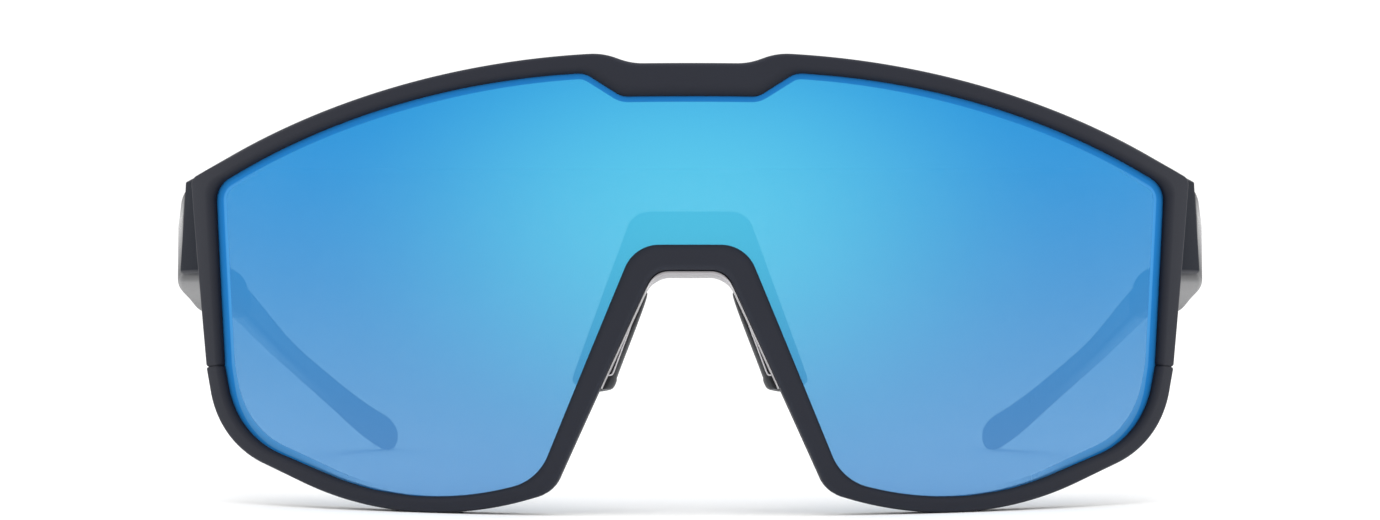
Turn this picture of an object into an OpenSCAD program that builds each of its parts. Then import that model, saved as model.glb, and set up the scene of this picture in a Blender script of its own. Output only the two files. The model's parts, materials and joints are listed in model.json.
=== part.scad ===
// Wraparound sport sunglasses: one mirrored shield held in a two-piece nylon rim,
// a nose bracket with push-on pads, and two folding temples with rubber grips.
//
// Everything is drawn in the frame of the front: x across, y back from the lens
// apex, z up from the lowest rim edge. seat() then leans it back until the lower
// rim and both temple tips stand on the table.

/* [Front] */
// Width across the top corners of the rim
front_w = 142.4; // [136:0.2:150]
// Height of the front, lowest rim edge to brow crest
front_h = 62.6; // [60:0.2:68]
// Radius of the wrap, seen from above
wrap_r = 88; // [84:1:110]
// Radius of the lens, seen from the side
crown_r = 260; // [200:10:500]
// Height of the joint between upper and lower rim
split_h = 22.2; // [20:0.2:26]

/* [Brow] */
// Half length of the straight bar over the bridge
bar_half = 8; // [7:0.2:10]
// Drop of the bar below the brow crest
bar_drop = 1.5; // [1:0.1:2.2]
// Height of the bar
bar_w = 4.6; // [4:0.1:5.4]
// Width of the rim along the brow
brow_w = 2.7; // [2.3:0.1:3.4]
// Drop of the top corners below the brow crest
corner_drop = 13.4; // [11:0.2:15]
// Run of the shoulder between bar and crest
shoulder_run = 4; // [3:0.2:5]
// Radius of the brow sweep, seen from the front
brow_r = 160; // [110:5:170]

/* [Rim] */
// Inset of the joint from the top corners, each side
split_inset = 2.8; // [2:0.1:4]
// Inset of the lower corners from the top corners, each side
jaw_inset = 4.9; // [4:0.1:6]
// Drop of the lower corners below the joint
jaw_drop = 11.2; // [9:0.2:13]
// Inset of the lowest stretch from the top corners, each side
sole_inset = 32.8; // [30:0.2:36]
// Depth of the lower sweep's vertex below the lowest rim edge
sole_sink = 3.1; // [2.6:0.1:3.6]
// Width of the rim at the top corners
side_w = 3.6; // [3:0.1:4.4]
// Width of the rim at the joint
split_w = 2.5; // [2.2:0.1:3.2]
// Width of the rim along the bottom
lower_w = 2.3; // [2:0.1:3]
// Height that the rim stands in front of the lens
rim_front = 1.3; // [1:0.1:1.8]
// Depth that the rim reaches behind the lens front
rim_back = 3.3; // [2.9:0.1:4.2]
// Share of the rim's width that its inner wall slopes away behind the lens
rim_slope = 0.4; // [0.2:0.05:0.5]
// Rounding of the outer rim edges
rim_round = 0.8; // [0.5:0.1:1]
// Depth of the lens groove
groove = 0.9; // [0.6:0.1:1.1]

/* [Nose] */
// Height of the nose arch
nose_h = 32.4; // [30:0.2:35]
// Half width of the nose arch at its top
nose_top = 4.9; // [4.2:0.1:6]
// Half width of the nose opening at its foot
nose_foot = 18.7; // [17:0.1:20]
// Height of the foot corners
foot_z = 2.3; // [1.6:0.1:3.4]
// Width of the rim over the arch
arch_w = 3.5; // [3:0.1:4.2]
// Height of the bracket crown over the arch
bracket_rise = 8.6; // [7.5:0.1:10]
// Thickness of the bracket plate
bracket_t = 1.9; // [1.4:0.1:2.6]
// Depth of the nose pads, front to back
pad_depth = 9.5; // [8:0.5:12]
// Thickness of a nose pad
pad_t = 3.2; // [2.8:0.1:3.6]

/* [Lens] */
// Thickness of the shield
lens_t = 1.7; // [1.4:0.1:1.9]
// Gap around the shield in its groove
lens_gap = 0.12; // [0.06:0.02:0.2]

/* [Hinge] */
// Length of the endpiece from the rim corner back to the hinge
endpiece_l = 7; // [6:0.2:9]
// Height of the endpiece at the rim
endpiece_h = 13.8; // [13:0.2:14.8]
// Rise of the endpiece bottom from the rim to the hinge
endpiece_tuck = 1.2; // [0.8:0.1:1.6]
// Rise of the endpiece top from the rim corner to the hinge
endpiece_rise = 0.3; // [0.1:0.1:1]
// Height of the hinge barrels, all three
barrel_h = 8; // [7:0.2:8.6]
// Outer diameter of the barrels
barrel_d = 3.4; // [3:0.1:3.6]
// Diameter of the hinge screw
screw_d = 1.4; // [1.2:0.1:1.6]
// Radial clearance of the screw in its bore
screw_gap = 0.05; // [0.03:0.01:0.08]
// Gap between endpiece and temple when open
hinge_gap = 0.35; // [0.3:0.05:0.6]

/* [Temple] */
// Length of a temple from the hinge to the tip
temple_l = 116; // [108:1:126]
// Height of the temple at the hinge
temple_h = 13.2; // [12.6:0.2:13.8]
// Thickness of the temple at the hinge
temple_t = 4.7; // [4.4:0.1:5.4]
// Length from the hinge back to the neck of the arm
neck_l = 30; // [26:1:34]
// Height at the neck
neck_h = 6.8; // [6.2:0.1:7.6]
// Sink of the neck below the line of the temple
neck_dip = 2.7; // [1.5:0.1:3.2]
// Step of the arm's rounded shoulder above the grip
shoulder = 1; // [0.6:0.1:1.6]
// Height at the start of the rubber grip
grip_h = 5.9; // [5.4:0.1:6.8]
// Height at the waist of the grip
waist_h = 3.8; // [3.6:0.1:4.6]
// Height at the tip
tip_h = 6.1; // [5.4:0.1:7]
// Thickness of the grip
grip_t = 3.3; // [3.2:0.1:4.2]
// Number of ribs on each grip
rib_count = 26; // [18:1:28]
// Height of a rib
rib_d = 0.35; // [0.2:0.05:0.45]
// Radius of the inward bend of the temple
hug_r = 214; // [180:2:280]

/* [Part] */
// Piece to draw

/* [Hidden] */

$fn = 32;
eps = 0.01;

// Gap of the joint line between upper and lower rim
joint_gap = 0.16;
// Gap between parts that sit against each other
seat_gap = 0.06;

half_w = front_w / 2;
bar_z = front_h - bar_drop;
corner_z = front_h - corner_drop;
crest_x = bar_half + shoulder_run;
split_x = half_w - split_inset;
jaw_x = half_w - jaw_inset;
jaw_z = split_h - jaw_drop;
sole_x = half_w - sole_inset;

// The brow vertex is where the crest line and the corner line meet
crest_fall = 2;
corner_fall = 22;
brow_x = (half_w * tan(corner_fall) + corner_z - front_h - crest_x * tan(crest_fall))
    / (tan(corner_fall) - tan(crest_fall));
brow_z = front_h - (brow_x - crest_x) * tan(crest_fall);

// Corners of the half outline: x, z, radius. The pairs share one corner count
upper_outer = [
    [0, bar_z],
    [bar_half, bar_z, 5],
    [crest_x, front_h, 4],
    [brow_x, brow_z, brow_r],
    [half_w, corner_z, 1],
    [split_x, split_h + joint_gap / 2]
];
upper_inner = [
    [0, bar_z - bar_w],
    [bar_half + bar_w * 0.3, bar_z - bar_w, 2],
    [crest_x + brow_w * 0.93, front_h - brow_w, 2.5],
    [brow_x + 1, brow_z - brow_w - 0.1, brow_r - 10],
    [half_w - side_w, corner_z - side_w * 0.42, 3],
    [split_x - split_w, split_h + joint_gap / 2]
];
lower_outer = [
    [0, nose_h],
    [nose_top, nose_h, 3],
    [nose_foot, foot_z, 4.5],
    [sole_x, -sole_sink, 45],
    [jaw_x, jaw_z, 15],
    [split_x, split_h - joint_gap / 2]
];
lower_inner = [
    [0, nose_h + arch_w],
    [nose_top + arch_w * 0.77, nose_h + arch_w, 5],
    [nose_foot + lower_w * 0.92, foot_z + lower_w * 0.7, 7],
    [sole_x, lower_w * 1.45 - sole_sink, 40],
    [jaw_x - split_w, jaw_z + lower_w * 0.35, 14],
    [split_x - split_w, split_h - joint_gap / 2]
];
// Steps in each straight run and in each corner arc, equal in sum for the lens
upper_runs = [3, 1, 2, 1, 6];
upper_arcs = [4, 4, 12, 4];
lower_runs = [2, 4, 1, 1, 2];
lower_arcs = [6, 6, 8, 7];

function unit(a) = a / norm(a);
function mix(a, b, f) = a + (b - a) * f;
function ease(f) = (1 - cos(180 * min(1, max(0, f)))) / 2;

// Rounded corner at b between a and c, as n steps of a true arc
function corner(a, b, c, r, n) =
    let (
        p = unit(a - b),
        q = unit(c - b),
        half = acos(p * q) / 2,
        reach = min(r / tan(half), 0.93 * min(norm(a - b), norm(c - b))),
        mid = b + unit(p + q) * reach / cos(half),
        s = b + p * reach - mid,
        e = b + q * reach - mid,
        turn = 180 - 2 * half
    )
    [for (i = [0 : n]) mid + (s * sin(turn * (1 - i / n)) + e * sin(turn * i / n)) / sin(turn)];

function flat(p) = [p[0], p[1]];

// Walks a half outline from the middle to the joint
function walk(v, runs, arcs) =
    let (
        last = len(v) - 1,
        keys = [
            [flat(v[0])],
            for (i = [1 : last - 1])
                corner(flat(v[i - 1]), flat(v[i]), flat(v[i + 1]), v[i][2], arcs[i - 1]),
            [flat(v[last])]
        ]
    )
    [
        for (i = [0 : last])
            each concat(
                keys[i],
                i == last || runs[i] < 2 ? [] :
                    [for (k = [1 : runs[i] - 1])
                        mix(keys[i][len(keys[i]) - 1], keys[i + 1][0], k / runs[i])]
            )
    ];

// A half outline and its mirror image, from one side to the other
function both(h) = concat(
    [for (i = [len(h) - 1 : -1 : 1]) [-h[i][0], h[i][1]]],
    h
);

// Front face of the lens: depth, outward normal, and a point d in front of it
crown_z = 30;
function level_r(z) = wrap_r - crown_r + sqrt(crown_r * crown_r - (z - crown_z) * (z - crown_z));
function depth(p) = wrap_r - sqrt(level_r(p[1]) * level_r(p[1]) - p[0] * p[0]);
function normal(p) =
    let (
        r = level_r(p[1]),
        k = (p[1] - crown_z) / sqrt(crown_r * crown_r - (p[1] - crown_z) * (p[1] - crown_z))
    )
    unit([p[0] / r, -sqrt(r * r - p[0] * p[0]) / r, k]);
// Direction of the rim walls: straight back at the nose, turned out with the wrap
// at the sides, and as long as makes a step d along it stand d clear of the lens
function wall(p) =
    let (
        n = normal(p),
        m = [n[0] * (0.1 + 0.5 * abs(p[0]) / half_w), n[1], n[2]]
    )
    m / (m * n);
function over(p, d) = [p[0], depth(p), p[1]] + d * normal(p);
function behind(p, d) = over(p, 0) - d * wall(p);

// Closed skin over rings of points. In each ring the second half runs back
// along the first, so the two ends close as ladders even where they are hollow
module skin(rings) {
    n = len(rings[0]);
    m = len(rings);
    points = [for (r = rings) each r];
    sides = [
        for (i = [0 : m - 2], j = [0 : n - 1])
            let (a = i * n + j, b = i * n + (j + 1) % n)
                each [[a, a + n, b], [b, a + n, b + n]]
    ];
    ends = [
        for (j = [0 : n / 2 - 2])
            let (a = n - 1 - j, z = (m - 1) * n)
                each [[j, j + 1, a], [j + 1, a - 1, a], [z + j, z + a, z + j + 1], [z + j + 1, z + a, z + a - 1]]
    ];
    faces = concat(sides, ends);
    swept = [for (f = faces) cross(points[f[0]], points[f[1]]) * points[f[2]]] * [for (f = faces) 1];
    polyhedron(points = points, faces = swept < 0 ? faces : [for (f = faces) [f[0], f[2], f[1]]], convexity = 8);
}

// Rim section across from the inner outline point to the outer one
function rim_ring(inner, outer) =
    let (
        a = over(inner, 0),
        b = over(outer, 0),
        w = norm(b - a),
        e = (b - a) / w,
        n = wall((inner + outer) / 2),
        f = rim_front,
        k = -rim_back,
        r = min(rim_round, 0.3 * w),
        g = min(groove, 0.45 * w),
        t = -lens_t - lens_gap,
        inside = [
            [0.65, f],
            [0.2, f - 0.25],
            [0, lens_gap + 0.3],
            [0, lens_gap],
            [g, lens_gap],
            [g, t],
            [0, t],
            [rim_slope * w * 0.1, mix(t, k, 0.2)],
            [rim_slope * w, k]
        ],
        outside = [
            [w - r, k],
            [w - 0.3 * r, k + 0.3 * r],
            [w, k + r],
            [w, t],
            [w, mix(t, lens_gap, 0.5)],
            [w, lens_gap],
            [w, f - r],
            [w - 0.3 * r, f - 0.3 * r],
            [w - r, f]
        ]
    )
    [for (p = concat(inside, outside)) a + e * p[0] + n * p[1]];

function rim_rings(inner, outer) = [for (i = [0 : len(inner) - 1]) rim_ring(inner[i], outer[i])];

upper_in = both(walk(upper_inner, upper_runs, upper_arcs));
upper_out = both(walk(upper_outer, upper_runs, upper_arcs));
lower_in = both(walk(lower_inner, lower_runs, lower_arcs));
lower_out = both(walk(lower_outer, lower_runs, lower_arcs));
upper_rings = rim_rings(upper_in, upper_out);
lower_rings = rim_rings(lower_in, lower_out);

// Edge of the shield, out in the groove
function lens_edge(inner, outer) =
    let (w = norm(over(outer, 0) - over(inner, 0)))
    mix(inner, outer, (min(groove, 0.45 * w) - lens_gap) / w);
lens_rows = 6;
lens_rings = [
    for (i = [0 : len(upper_in) - 1])
        let (
            lo = lens_edge(lower_in[i], lower_out[i]),
            hi = lens_edge(upper_in[i], upper_out[i])
        )
        concat(
            [for (k = [0 : lens_rows]) over(mix(lo, hi, k / lens_rows), 0)],
            [for (k = [lens_rows : -1 : 0]) behind(mix(lo, hi, k / lens_rows), lens_t)]
        )
];

// Hinge place: behind the top corner, on the inner face of the endpiece
hinge_y = depth([half_w, corner_z]) + endpiece_l;
hinge_x = half_w - 1.9;
endpiece_top = corner_z + 0.2;
endpiece_z = endpiece_top - endpiece_h;
endpiece_out = half_w + 2.8;
endpiece_rake = 1.2;
endpiece_pitch = 0.3;
endpiece_round = 0.8;
endpiece_steps = 4;
barrel_z = endpiece_z + (endpiece_h + endpiece_tuck - barrel_h) / 2 + 0.3;
barrel_gap = 0.08;
barrel_third = barrel_h / 3;
tab_x = hinge_x + 0.55;
tab_t = 1.2;
tab_l = 5.5;
pocket_r = barrel_d / 2 + 0.3;
head_t = 0.7;

// Temple path: depth along the front frame gives side, height and section
arm_y = hinge_y + hinge_gap;
tip_y = hinge_y + temple_l;
neck_y = arm_y + neck_l;
grip_y = hinge_y + 0.4 * temple_l;
waist_y = hinge_y + 0.7 * temple_l;
swell_y = hinge_y + 0.96 * temple_l;
shoulder_l = 5;
arm_in = hinge_x + 0.45;
block_l = 28;
flare = 2.6;
hug_run = 11;
hug_y = hinge_y + hug_run;
temple_z = endpiece_top + endpiece_rise - 0.3 - temple_h / 2;
drop_a = 5.6;
drop_b = 15.5;
ear_y = hinge_y + 0.48 * temple_l;

function face_x(y) =
    let (d = max(0, y - hug_y))
    arm_in + tan(flare) * (y - arm_y) - hug_r + sqrt(hug_r * hug_r - d * d);
function path_z(y) =
    let (d = y - ear_y, s = 11)
    temple_z - tan(drop_a) * (y - arm_y)
        - (tan(drop_b) - tan(drop_a)) * (d + sqrt(d * d + s * s)) / 2
        - neck_dip * (y < neck_y ? ease((y - arm_y) / neck_l) : ease((grip_y - y) / (grip_y - neck_y)));
function path_t(y) = mix(temple_t, grip_t, ease((y - arm_y) / (waist_y - arm_y)));
function path_h(y) =
    y < neck_y ? mix(temple_h, neck_h, ease((y - arm_y) / neck_l)) :
    y < grip_y ? mix(neck_h, grip_h, ease((y - neck_y) / (grip_y - neck_y))) :
    y < waist_y ? mix(grip_h, waist_h, ease((y - grip_y) / (waist_y - grip_y))) :
    y < swell_y ? mix(waist_h, tip_h, ease((y - waist_y) / (swell_y - waist_y))) :
    tip_h * tip_round(y);
// Blunt rounding of the tip
function tip_round(y) = sqrt(max(0.03, 1 - pow(max(0, y - swell_y) / (tip_y - swell_y), 3)));
// Height of the arm above the line of the grip: it grows back to a rounded shoulder
function crest(y) =
    let (u = min(1, max(0, (grip_y - y) / shoulder_l)))
    shoulder * pow((y - arm_y) / (grip_y - arm_y), 1.3) * sqrt(u * (2 - u));

// Temple section at depth y, inset all round, raised at the top, with a rib raised on its
// upper inner face. A rounded block at the hinge turns into a keeled blade at the grip
function temple_ring(y, inset, top, rib) =
    let (
        h = (path_h(y) + top) / 2 - inset,
        full = path_t(y),
        t = (full / 2 - inset) * tip_round(y),
        x = face_x(y) + full / 2,
        z = path_z(y) + top / 2,
        keel = ease((y - arm_y - block_l) / (grip_y - arm_y - block_l)),
        block = [
            [-0.6, 1, 0], [-0.9, 0.96, 0], [-1, 0.88, 1], [-1, 0, 1], [-1, -0.85, 0], [-0.7, -1, 0],
            [0.85, -1, 0], [1, -0.9, 0], [1, 0.15, 0], [1, 0.5, 0], [0.84, 0.86, 0], [0.5, 1, 0]
        ],
        blade = [
            [-0.25, 1, 0], [-0.8, 0.88, 0], [-1, 0.64, 1], [-1, 0, 1], [-1, -0.3, 0], [-0.5, -1, 0],
            [0, -1, 0], [0.85, -0.2, 0], [1, 0.15, 0], [1, 0.64, 0], [0.8, 0.88, 0], [0.25, 1, 0]
        ]
    )
    [for (p = mix(block, blade, keel)) [x + p[0] * t - p[2] * rib, y, z + p[1] * h]];

arm_steps = 12;
arm_end = grip_y - seat_gap;
tang_y = mix(grip_y, tip_y, 0.72);
tang_in = 1.15;
arm_depths = concat(
    [for (i = [0 : arm_steps - 1]) mix(arm_y, grip_y - shoulder_l, i / (arm_steps - 1))],
    [for (i = [1 : 5]) mix(grip_y - shoulder_l, arm_end, sin(18 * i))]
);
arm_rings = concat(
    [for (y = arm_depths) temple_ring(y, 0, crest(y), 0)],
    [for (i = [0 : 8]) temple_ring(mix(arm_end, tang_y, i / 8), tang_in, 0, 0)]
);
tang_rings = [
    for (i = [0 : 9])
        temple_ring(i == 0 ? grip_y - 1 : mix(grip_y, tang_y + 0.2, (i - 1) / 8), tang_in - seat_gap, 0, 0)
];
rib_start = grip_y + 3;
rib_pitch = (waist_y + 9 - rib_start) / rib_count;
grip_rings = concat(
    [temple_ring(grip_y, 0, 0, 0)],
    [
        for (i = [0 : rib_count - 1], k = [0 : 1])
            temple_ring(rib_start + (i + k / 2) * rib_pitch, 0, 0, k * rib_d)
    ],
    [for (i = [0 : 4]) temple_ring(mix(waist_y + 9, swell_y, i / 4), 0, 0, 0)],
    [for (i = [1 : 6]) temple_ring(mix(swell_y, tip_y, sin(15 * i)), 0, 0, 0)]
);

// Rest on the table: the lean at which lower rim and temple tips touch together
function low(points, a) = min([for (p = points) p[2] * cos(a) - p[1] * sin(a)]);
rim_points = [for (r = lower_rings) each r];
tip_points = [for (r = grip_rings) each r];
function settle(a, b, n) =
    let (m = (a + b) / 2)
    n == 0 ? m :
    low(rim_points, m) < low(tip_points, m) ? settle(m, b, n - 1) : settle(a, m, n - 1);
steepest = 25;
lean = settle(0, steepest, 26);
lift = -low(rim_points, lean);
front_y = min([for (p = concat(rim_points, [for (r = upper_rings) each r])) p[1] * cos(lean) + p[2] * sin(lean)]);
back_y = max([for (p = tip_points) p[1] * cos(lean) + p[2] * sin(lean)]);

module seat() {
    translate([0, -(front_y + back_y) / 2, lift])
        rotate([-lean, 0, 0])
            children();
}

module other_side() {
    mirror([1, 0, 0])
        children();
}

// Joint tongue on the wearer's left: stands on the lower rim, along its run
module joint_tongue(grow) {
    last = len(lower_in) - 1;
    a = over(lower_in[last], 0);
    b = over(lower_out[last], 0);
    w = norm(b - a);
    e = (b - a) / w;
    n = normal((lower_in[last] + lower_out[last]) / 2);
    up = cross(e, n);
    wide = w - groove - 1.4;
    multmatrix([
        [e[0], n[0], up[0], a[0]],
        [e[1], n[1], up[1], a[1]],
        [e[2], n[2], up[2], a[2]],
        [0, 0, 0, 1]
    ])
        translate([groove + 0.7 - grow, -rim_back + 1.1 - grow, -1])
            cube([wide + 2 * grow, 2.2 + 2 * grow, 3.4 + grow]);
}

// Endpiece on the wearer's left: slabs flaring back from the rim corner to the hinge face.
// The top falls outwards, in line with the brow
module endpiece_slab(f) {
    r = endpiece_round;
    root = over([half_w - 1.6, corner_z - endpiece_h / 2], -1.2);
    y = mix(root[1], hinge_y - r, f);
    in_x = mix(root[0] - 2.2, hinge_x + 0.1 + r, f);
    out_x = mix(root[0], endpiece_out - r, pow(f, 0.8));
    bottom = endpiece_z + endpiece_tuck * f;
    top = endpiece_top + endpiece_rise * f;
    translate([in_x, y, bottom])
        cylinder(r = r, h = top - bottom + endpiece_pitch * (out_x - in_x), $fn = 12);
    translate([out_x, y, bottom])
        cylinder(r = r, h = r, $fn = 12);
    translate([out_x - endpiece_rake * f, y, top - r])
        cylinder(r = r, h = r, $fn = 12);
}

module endpiece() {
    for (i = [0 : endpiece_steps - 1])
        hull() {
            endpiece_slab(i / endpiece_steps);
            endpiece_slab((i + 1) / endpiece_steps);
        }
}

// Room for the barrels and for one hinge tab, cut from endpiece and temple
module barrel_room() {
    translate([hinge_x, hinge_y + hinge_gap / 2, endpiece_z - 3])
        cylinder(r = pocket_r, h = barrel_z - endpiece_z + 3 + barrel_h + 0.3);
}

module tab_room(y) {
    translate([tab_x - seat_gap, y, barrel_z - seat_gap])
        cube([tab_t + 2 * seat_gap, tab_l + 2, barrel_h + 2 * seat_gap]);
}

module upper_frame() {
    color("#2a2b30")
        seat()
            difference() {
                union() {
                    skin(upper_rings);
                    endpiece();
                    other_side()
                        endpiece();
                }
                upper_cuts();
                other_side()
                    upper_cuts();
            }
}

module upper_cuts() {
    barrel_room();
    tab_room(hinge_y - tab_l);
    joint_tongue(seat_gap);
}

module lower_frame() {
    color("#2a2b30")
        seat() {
            skin(lower_rings);
            joint_tongue(0);
            other_side()
                joint_tongue(0);
        }
}

module shield_lens() {
    color("#3f9fd8")
        seat()
            skin(lens_rings);
}

// Nose bracket: an L section bent round the arch, behind rim and lens, its lip under the arch
lip_t = 0.5;
leg_l = 16;
function nose_x(z) = mix(nose_top, nose_foot, (nose_h - z) / (nose_h - foot_z));
bracket_outer = [
    [0, nose_h + bracket_rise],
    [nose_top + 2.95, nose_h + bracket_rise, 3.2],
    [nose_x(nose_h - leg_l) + 4.1, nose_h - leg_l + 0.8]
];
bracket_inner = [
    [0, nose_h - seat_gap],
    [nose_top - 0.05, nose_h - seat_gap, 3],
    [nose_x(nose_h - leg_l) - seat_gap, nose_h - leg_l]
];
bracket_runs = [3, 6];
bracket_arcs = [6];
bracket_in = both(walk(bracket_inner, bracket_runs, bracket_arcs));
bracket_out = both(walk(bracket_outer, bracket_runs, bracket_arcs));

function bracket_ring(inner, outer) =
    let (
        a = over(inner, 0),
        b = over(outer, 0),
        w = norm(b - a),
        e = (b - a) / w,
        n = wall(inner),
        front = -rim_back - seat_gap,
        back = front - bracket_t,
        lip = mix(0.15, lip_t, ease((inner[1] - nose_h + 3.5) / 3.5))
    )
    [
        for (p = [
            [-lip, -0.9], [-lip, front], [-lip, back + 0.5], [0, back], [w - 0.6, back],
            [w, front - 0.6], [w - 0.3, front], [0, front], [-seat_gap, front + 0.3], [-seat_gap, -0.9]
        ])
            a + e * p[0] + n * p[1]
    ];

// A fin stands back from each leg of the bracket and carries a push-on pad
fin_t = 0.9;
fin_top = nose_h - 0.31 * leg_l;
fin_low = nose_h - 0.84 * leg_l;
fin_l = 0.79 * pad_depth;
splay = 20;
pad_over = 2.6;
pad_under = 2.2;
pad_gap = 0.3;
function leg_x(z) = nose_x(z) + 0.3;
function fin_ring(z, grow) =
    let (
        x = leg_x(z),
        y = depth([x, z]) + rim_back + bracket_t - 0.5,
        q = [sin(splay), cos(splay)],
        s = [cos(splay), -sin(splay)] * (fin_t / 2 + grow),
        c = [x, y],
        d = c + q * (fin_l + grow)
    )
    [for (p = [c - s, d - s, d + s, c + s]) [p[0], p[1], z]];

module fin(grow) {
    skin([fin_ring(fin_top + grow, grow), fin_ring(mix(fin_top, fin_low, 0.5), grow), fin_ring(fin_low - grow, grow)]);
}

module nose_bracket() {
    color("#3a3c44")
        seat() {
            skin([for (i = [0 : len(bracket_in) - 1]) bracket_ring(bracket_in[i], bracket_out[i])]);
            fin(0);
            other_side()
                fin(0);
        }
}

// Pad on the wearer's left: an oval blade over the fin, swelling down towards the nose
pad_steps = 10;
function pad_ring(f) =
    let (
        z = mix(fin_top + pad_over, fin_low - pad_under, ease(f)),
        full = max(0.3, sqrt(max(0, 1 - pow(abs(2 * f - 1), 3)))),
        x = leg_x(z),
        y = depth([x, z]) + rim_back + bracket_t + pad_gap,
        q = [sin(splay), cos(splay)],
        s = [cos(splay), -sin(splay)],
        half = pad_depth * (0.55 + 0.45 * full) / 2,
        thick = pad_t * (0.2 + 0.72 * pow(f, 0.6)) * (f < 0.8 ? 1 : sqrt(1.1 - pow((f - 0.8) / 0.24, 2))),
        back_t = pad_t * 0.33 * (0.5 + 0.5 * full),
        c = [x, y] + q * half
    )
    [
        for (p = [
            [0.98, 0.4], [0.8, 0.85], [0.35, 1], [-0.35, 1], [-0.8, 0.85], [-0.98, 0.4],
            [-0.98, -0.4], [-0.8, -0.85], [-0.35, -1], [0.35, -1], [0.8, -0.85], [0.98, -0.4]
        ])
            let (m = c + q * p[0] * half + s * p[1] * (p[1] > 0 ? back_t : thick))
                [m[0], m[1], z]
    ];

module nose_pad() {
    difference() {
        skin([for (i = [0 : pad_steps]) pad_ring(i / pad_steps)]);
        fin(seat_gap);
    }
}

module nose_pad_left() {
    color("#1d1e22")
        seat()
            nose_pad();
}

module nose_pad_right() {
    color("#1d1e22")
        seat()
            other_side()
                nose_pad();
}

module temple_arm() {
    difference() {
        skin(arm_rings);
        barrel_room();
        tab_room(arm_y - 2);
    }
}

module temple_arm_left() {
    color("#2a2b30")
        seat()
            temple_arm();
}

module temple_arm_right() {
    color("#2a2b30")
        seat()
            other_side()
                temple_arm();
}

module temple_grip() {
    difference() {
        skin(grip_rings);
        skin(tang_rings);
    }
}

module temple_grip_left() {
    color("#202126")
        seat()
            temple_grip();
}

module temple_grip_right() {
    color("#202126")
        seat()
            other_side()
                temple_grip();
}

// One barrel of the hinge with its bore, counted from the bottom
module barrel(i) {
    translate([hinge_x, hinge_y + hinge_gap / 2, barrel_z + i * barrel_third + barrel_gap / 2])
        cylinder(d = barrel_d, h = barrel_third - barrel_gap);
}

module bore() {
    translate([hinge_x, hinge_y + hinge_gap / 2, barrel_z - 1])
        cylinder(r = screw_d / 2 + screw_gap, h = barrel_h + 2);
}

// Tab band at the height of barrel i, from depth a to depth b
module tab_band(i, a, b) {
    translate([tab_x, a, barrel_z + i * barrel_third + barrel_gap / 2])
        cube([tab_t, b - a, barrel_third - barrel_gap]);
}

module hinge_front() {
    near = hinge_y + hinge_gap / 2;
    difference() {
        union() {
            barrel(0);
            barrel(2);
            translate([tab_x, hinge_y - tab_l + seat_gap, barrel_z])
                cube([tab_t, tab_l - pocket_r, barrel_h]);
            tab_band(0, hinge_y - tab_l + seat_gap, near);
            tab_band(2, hinge_y - tab_l + seat_gap, near);
        }
        bore();
    }
}

module hinge_temple() {
    near = hinge_y + hinge_gap / 2;
    end = arm_y + tab_l - seat_gap;
    difference() {
        union() {
            barrel(1);
            translate([tab_x, near + pocket_r, barrel_z])
                cube([tab_t, end - near - pocket_r, barrel_h]);
            tab_band(1, near, end);
        }
        bore();
    }
}

// Screw from below: head under the lowest barrel, with a driver slot
module hinge_screw() {
    translate([hinge_x, hinge_y + hinge_gap / 2, barrel_z])
        difference() {
            union() {
                cylinder(d = screw_d, h = barrel_h);
                translate([0, 0, -head_t])
                    cylinder(d = screw_d + 1.2, h = head_t);
            }
            translate([-2, -0.2, -head_t - eps])
                cube([4, 0.4, 0.35]);
        }
}

module hinge_front_left() {
    color("#b9bcc2")
        seat()
            hinge_front();
}

module hinge_front_right() {
    color("#b9bcc2")
        seat()
            other_side()
                hinge_front();
}

module hinge_temple_left() {
    color("#b9bcc2")
        seat()
            hinge_temple();
}

module hinge_temple_right() {
    color("#b9bcc2")
        seat()
            other_side()
                hinge_temple();
}

module hinge_screw_left() {
    color("#d0d2d6")
        seat()
            hinge_screw();
}

module hinge_screw_right() {
    color("#d0d2d6")
        seat()
            other_side()
                hinge_screw();
}

upper_frame();
lower_frame();
shield_lens();
nose_bracket();
nose_pad_left();
nose_pad_right();
temple_arm_left();
temple_arm_right();
temple_grip_left();
temple_grip_right();
hinge_front_left();
hinge_front_right();
hinge_temple_left();
hinge_temple_right();
hinge_screw_left();
hinge_screw_right();
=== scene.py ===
import json
from math import acos, atan2, cos, pi, radians, sin, tan

import bmesh
import bpy
import numpy as np
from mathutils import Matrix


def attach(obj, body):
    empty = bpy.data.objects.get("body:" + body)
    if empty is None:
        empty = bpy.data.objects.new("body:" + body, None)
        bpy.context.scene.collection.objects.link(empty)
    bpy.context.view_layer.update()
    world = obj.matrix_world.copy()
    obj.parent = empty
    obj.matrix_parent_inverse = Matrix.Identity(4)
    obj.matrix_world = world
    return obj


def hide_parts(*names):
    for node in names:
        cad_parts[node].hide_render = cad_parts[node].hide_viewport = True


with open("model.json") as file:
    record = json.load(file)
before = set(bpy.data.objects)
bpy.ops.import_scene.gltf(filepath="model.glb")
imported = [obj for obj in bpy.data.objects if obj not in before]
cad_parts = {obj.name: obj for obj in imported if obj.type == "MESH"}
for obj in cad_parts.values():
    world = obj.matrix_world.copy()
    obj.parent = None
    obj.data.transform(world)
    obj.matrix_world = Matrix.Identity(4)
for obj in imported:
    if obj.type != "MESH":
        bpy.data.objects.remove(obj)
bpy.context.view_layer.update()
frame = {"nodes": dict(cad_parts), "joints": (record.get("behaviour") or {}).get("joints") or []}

# Upper frame: the brow bar, both brow sweeps and the upper sides of the rim, with an endpiece
# moulded on behind each top corner. Injection-moulded nylon in a fine matt grain, a little
# smoother on the outer edges where hands polish it. It carries the lens in an inner groove.

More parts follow.
